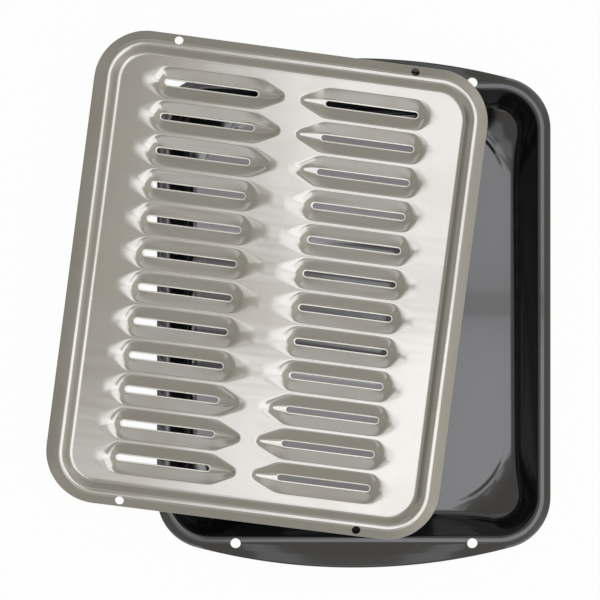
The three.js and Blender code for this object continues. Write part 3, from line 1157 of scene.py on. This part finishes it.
    def build(self) -> bpy.types.Object:
        """Builds the grill's mesh.

        Returns:
            The piece, in the grill's own axes.
        """
        mesh = SheetMesh()
        rim = mesh.add_rings(self.rim_rings())
        edges = []
        for row in range(self.rows):
            for column in Column:
                rings = self.trough_rings(row)
                if column is Column.RIGHT:
                    rings = rings * (-1, -1, 1)
                rings = rings + (column.value * self.column_offset, self.row_y(row), 0)
                rings = self.dished(rings) - (0, 0, self.panel_recess)
                edges.append(mesh.add_rings(rings)[0])
        block = np.concatenate(edges)
        places = np.vstack(mesh.points)[block].round(4)
        half_block = (self.column_offset + self.cell_outer_reach, self.rows * self.row_pitch / 2)
        outside = np.isclose(abs(places[:, :2]), half_block, rtol=0, atol=NEAR).any(axis=1)
        _, first = np.unique(places[outside], axis=0, return_index=True)
        mesh.add_margin(rim[-1], block[outside][first])
        hole_y = self.length / 2 - self.hole_from_end
        drills = four_holes(self.hole_spacing, hole_y, self.hole_diameter)
        return mesh.made("grill_pressing", self.sheet, drills, self.broken_edge, self.drill_reach)

    def dress(self, piece: bpy.types.Object) -> None:
        """Lays the grill where the solid lies, and gives it its plating and its place on the grill body."""
        slots = SlotGrid(self.column_offset, self.rows, self.row_pitch, self.slot_length, self.slot_width)
        coat(piece, BrightPlate(slots).material())
        piece.matrix_world = solid_pose(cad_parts["broiler_grill"])
        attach(piece, Body.GRILL.value)
        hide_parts("broiler_grill")


def stepped_toward(points: np.ndarray, goals: np.ndarray, step: float, most: float = 0.9) -> np.ndarray:
    """Points moved a step towards goals, but at most a share of the way."""
    way = goals - points
    far = np.maximum(np.linalg.norm(way, axis=1, keepdims=True), NO_WAY)
    return points + way * np.minimum(step / far, most)


def rounded_corner(
    before: np.ndarray,
    corner: np.ndarray,
    after: np.ndarray,
    reach: np.ndarray | float,
    steps: int,
    most: float = 0.46,
) -> list[np.ndarray]:
    """Rounds the corner of many three-point lines at once.

    Args:
        before: the lines' first points.
        corner: their corners.
        after: their last points.
        reach: how far from the corner each rounding starts and ends.
        steps: the points of each rounding.
        most: the share of each leg that a rounding may take.

    Returns:
        The roundings' points, from the first leg to the second.
    """
    sides = []
    for other in (before, after):
        way = other - corner
        far = np.maximum(np.linalg.norm(way, axis=1), NO_WAY)
        sides.append(corner + way * np.minimum(reach / far, most)[:, None])
    first, last = sides
    made = []
    for t in np.linspace(0, 1, steps):
        made.append((1 - t) ** 2 * first + 2 * t * (1 - t) * corner + t**2 * last)
    return made


# Studio


@dataclass(frozen=True)
class Softbox:
    """A soft lamp: its place and size in metres, its radiance, its spread in degrees and its colour."""

    name: str
    place: Triple
    size: Pair
    radiance: float
    spread: float = 180.0
    tint: Triple = (1.0, 1.0, 1.0)
    aims: bool = False

    def build(self) -> None:
        """Hangs the lamp, facing straight down or at the middle of the table."""
        data = bpy.data.lights.new(self.name, "AREA")
        data.shape = "RECTANGLE"
        data.size, data.size_y = self.size
        data.energy = self.radiance * math.pi * self.size[0] * self.size[1]
        data.spread = math.radians(self.spread)
        data.color = self.tint
        lamp = placed(self.name, data)
        lamp.location = self.place
        lamp.visible_camera = False
        if self.aims:
            lamp.rotation_euler = (-Vector(self.place)).to_track_quat("-Z", "Y").to_euler()


def under_grill(name: str, along: float, length: float, radiance: float) -> Softbox:
    """A weak lamp below the grill, which keeps the floor behind the slots as light as beside the grill."""
    place, width, spread, tint = (-0.039, along, 0.036), 0.19, 40.0, (1.0, 0.96, 0.88)
    return Softbox(name, place, (width, length), radiance, spread, tint)


@dataclass
class Studio:
    """The table, the light and the camera straight above. View and sensor are in mm, the rest in metres."""

    view_middle: Pair = (-44.2, 10.6)
    view_width: float = 491.4
    view_level: float = 41.3
    view_distance: float = 1200.0
    sensor_width: float = 36.0
    clip_end: float = 50.0
    table_size: float = 12.0
    table_drop: float = 0.0002
    zenith: float = 0.48
    zenith_from: float = 0.85
    horizon: float = 0.385
    to_right: float = 0.11
    to_front: float = 0.025
    to_sides: float = 0.21
    far_aside: float = 0.27
    far_aside_from: float = 0.8
    darkest: float = 0.1
    tint: Colour = (1.0, 0.955, 0.79, 1.0)
    softboxes: tuple[Softbox, ...] = (
        Softbox("softbox_back", (0.76, 0.4, 2.0), (1.5, 0.75), 0.92),
        Softbox("softbox_back_left", (-0.08, 0.44, 2.0), (0.18, 0.67), 0.47),
        Softbox("softbox_back_low", (0.0, 3.13, 3.2), (4.8, 0.9), 0.27, aims=True),
        Softbox("softbox_front", (0.805, -0.4, 2.0), (1.41, 0.75), 1.07),
        Softbox("softbox_front_left", (-0.05, -0.43, 2.0), (0.3, 0.69), 0.88),
        Softbox("softbox_left", (-0.45, -0.52, 2.0), (0.5, 0.55), 0.38),
        Softbox("softbox_front_right", (1.08, -1.2, 2.0), (0.95, 0.85), 0.93),
        Softbox("softbox_front_low", (0.0, -2.92, 3.2), (4.8, 0.56), 0.4, aims=True),
        under_grill("softbox_under_back", 0.113, 0.106, 0.095),
        under_grill("softbox_under", 0.005, 0.11, 0.022),
        under_grill("softbox_under_front", -0.108, 0.116, 0.095),
    )

    def build(self) -> None:
        """Builds everything round the object."""
        self.camera()
        self.table()
        self.sky()
        for softbox in self.softboxes:
            softbox.build()
        bpy.context.scene.view_settings.view_transform = "Standard"

    def camera(self) -> None:
        """Puts the camera straight above the middle of the view."""
        data = bpy.data.cameras.new("overhead")
        data.sensor_width = self.sensor_width
        data.lens = self.sensor_width * self.view_distance / self.view_width
        data.clip_end = self.clip_end
        camera = placed("overhead", data)
        camera.location = Vector((*self.view_middle, self.view_level + self.view_distance)) * MM
        bpy.context.scene.camera = camera

    def table(self) -> None:
        """Lays the table under the pan."""
        half = self.table_size / 2
        corners = [(x * half, y * half, 0) for x, y in ((-1, -1), (1, -1), (1, 1), (-1, 1))]
        mesh = bpy.data.meshes.new("table")
        mesh.from_pydata(corners, [], [(0, 1, 2, 3)])
        table = placed("table", mesh)
        table.location.z = -self.table_drop
        mesh.materials.append(PaleTable().material())

    def sky(self) -> None:
        """Lights the room softly, brighter from above, the front and the right, but not from far aside."""
        world = bpy.data.worlds.new("room")
        world.use_nodes = True
        graph = Graph(world.node_tree)
        way = graph.add("ShaderNodeTexCoord", {}, {}).outputs["Generated"]
        x, y, z = graph.parts(way)
        up, aside = z.between(self.zenith_from, 1.0), abs(x).between(self.far_aside_from, 1.0)
        level = self.horizon + (self.zenith - self.horizon) * up - self.to_front * y
        level = level + self.to_right * x + self.to_sides * x * x - self.far_aside * aside
        level = level.at_least(self.darkest)
        room = graph.add("ShaderNodeBackground", {}, {"Color": self.tint, "Strength": level})
        white = graph.add("ShaderNodeBackground", {}, {"Color": WHITE, "Strength": 1.0})
        seen = graph.add("ShaderNodeLightPath", {}, {}).outputs["Is Camera Ray"]
        surface = graph.add("ShaderNodeMixShader", {}, {0: seen, 1: room.outputs[0], 2: white.outputs[0]})
        graph.show(surface, "ShaderNodeOutputWorld")
        bpy.context.scene.world = world


def report(piece: bpy.types.Object) -> None:
    """Logs a piece's faces and box."""
    corners = [piece.matrix_world @ Vector(c) for c in piece.bound_box]
    low = [round(min(c[i] for c in corners), 4) for i in range(3)]
    high = [round(max(c[i] for c in corners), 4) for i in range(3)]
    LOG.info("%s: %d faces, from %s to %s", piece.name, len(piece.data.polygons), low, high)


def main() -> None:
    """Builds the studio, then the pieces in order, and reports them."""
    logging.basicConfig(level=logging.INFO, format="%(name)s: %(message)s")
    Studio().build()
    for part in (Pan(), Grill()):
        piece = part.build()
        part.dress(piece)
        report(piece)


if __name__ == "__main__":
    main()
